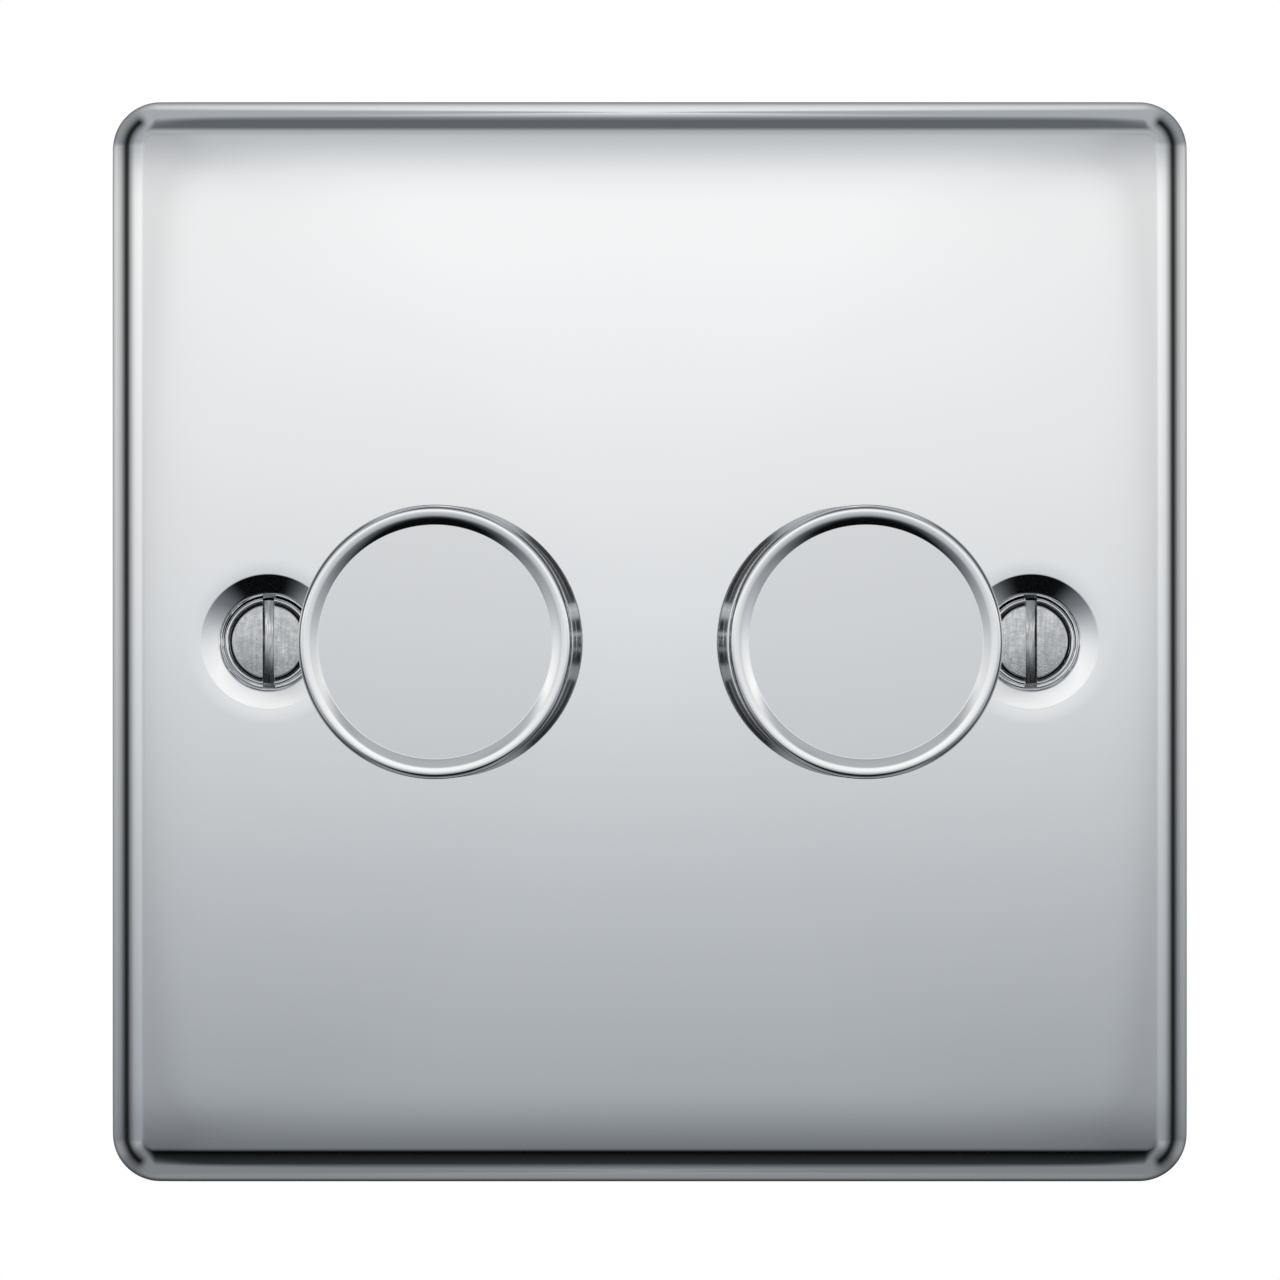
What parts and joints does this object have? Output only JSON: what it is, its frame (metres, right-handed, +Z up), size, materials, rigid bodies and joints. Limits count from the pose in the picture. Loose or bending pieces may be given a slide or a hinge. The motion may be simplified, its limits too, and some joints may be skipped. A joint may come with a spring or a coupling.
{
  "type": "double dimmer switch",
  "caption": "Wall plate of pressed chrome sheet with round push-and-turn dimmer knobs, slotted fixing screws in pressed dishes, and a moulded control housing behind.",
  "frame": {"origin": "middle of the wall plane, halfway between the two fixing screws", "axes": "+X to the right and +Z up as seen from the room, +Y into the wall"},
  "size_m": [0.086, 0.043, 0.0864],
  "materials": {
    "chrome_plate": "polished chrome plating",
    "chrome_knob": "polished chrome sides, satin chrome face",
    "chrome_screw": "chrome plated, lightly worn head",
    "spring_steel": "bright spring steel",
    "shaft_metal": "turned",
    "bush_metal": "zinc die casting",
    "zinc_steel": "zinc plated",
    "nickel_nut": "nickel plated",
    "control_plastic": "moulded, black",
    "rotor_plastic": "moulded, natural white",
    "wiper_brass": "spring brass",
    "wafer_board": "paper laminate",
    "tinned_wire": "tinned",
    "terminal_brass": "machined",
    "epoxy_black": "moulded epoxy",
    "copper_choke": "enamelled copper winding",
    "capacitor_box": "moulded box",
    "capacitor_can": "sleeved can",
    "liner_plastic": "moulded, black, fine grain",
    "housing_plastic": "moulded, black, fine grain",
    "cover_plastic": "moulded, black, fine grain",
    "sink_aluminium": "plain sheet",
    "circuit_laminate": "solder mask, green"
  },
  "bodies": {
    "base": {"face_plate": "chrome_plate", "back_liner": "liner_plastic", "earth_terminal": "terminal_brass", "earth_screw": "zinc_steel", "dimmer_housing": "housing_plastic", "rear_cover": "cover_plastic", "heat_sink": "sink_aluminium", "circuit_board": "circuit_laminate", "left_fixing_screw": "chrome_screw", "left_bush": "bush_metal", "left_washer": "zinc_steel", "left_bush_nut": "nickel_nut", "left_control_case": "control_plastic", "left_track_wafer": "wafer_board", "left_track_pins": "tinned_wire", "left_switch_case": "control_plastic", "left_return_spring": "spring_steel", "left_terminal_blocks": "terminal_brass", "left_terminal_screws": "zinc_steel", "left_transistors": "epoxy_black", "left_choke": "copper_choke", "left_film_capacitor": "capacitor_box", "left_smoothing_capacitor": "capacitor_can", "left_control_chip": "epoxy_black", "right_fixing_screw": "chrome_screw", "right_bush": "bush_metal", "right_washer": "zinc_steel", "right_bush_nut": "nickel_nut", "right_control_case": "control_plastic", "right_track_wafer": "wafer_board", "right_track_pins": "tinned_wire", "right_switch_case": "control_plastic", "right_return_spring": "spring_steel", "right_terminal_blocks": "terminal_brass", "right_terminal_screws": "zinc_steel", "right_transistors": "epoxy_black", "right_choke": "copper_choke", "right_film_capacitor": "capacitor_box", "right_smoothing_capacitor": "capacitor_can", "right_control_chip": "epoxy_black"},
    "left_rotor": {"left_rotor": "rotor_plastic", "left_wiper": "wiper_brass"},
    "left_spindle": {"left_shaft": "shaft_metal", "left_circlip": "spring_steel", "left_knob": "chrome_knob", "left_knob_clip": "spring_steel"},
    "left_slider": {"left_switch_slider": "rotor_plastic"},
    "right_rotor": {"right_rotor": "rotor_plastic", "right_wiper": "wiper_brass"},
    "right_spindle": {"right_shaft": "shaft_metal", "right_circlip": "spring_steel", "right_knob": "chrome_knob", "right_knob_clip": "spring_steel"},
    "right_slider": {"right_switch_slider": "rotor_plastic"}
  },
  "joints": [
    {"name": "left_turn", "type": "hinge", "parent": "base", "child": "left_rotor", "pos_m": [-0.016, 0, 0], "axis": [0, 1, 0], "range_deg": [-140, 140]},
    {"name": "left_push", "type": "slide", "parent": "left_rotor", "child": "left_spindle", "axis": [0, 1, 0], "range_m": [0, 0.0012], "stiffness_N_per_m": 800, "springref_m": -0.0015},
    {"name": "left_switch", "type": "slide", "parent": "base", "child": "left_slider", "axis": [0, 1, 0], "range_m": [0, 0.0012], "deforming": ["left_return_spring"]},
    {"name": "right_turn", "type": "hinge", "parent": "base", "child": "right_rotor", "pos_m": [0.016, 0, 0], "axis": [0, 1, 0], "range_deg": [-140, 140]},
    {"name": "right_push", "type": "slide", "parent": "right_rotor", "child": "right_spindle", "axis": [0, 1, 0], "range_m": [0, 0.0012], "stiffness_N_per_m": 800, "springref_m": -0.0015},
    {"name": "right_switch", "type": "slide", "parent": "base", "child": "right_slider", "axis": [0, 1, 0], "range_m": [0, 0.0012], "deforming": ["right_return_spring"]}
  ],
  "couplings": [
    {"joint": "left_switch", "follows": "left_push", "ratio": 1},
    {"joint": "right_switch", "follows": "right_push", "ratio": 1}
  ]
}
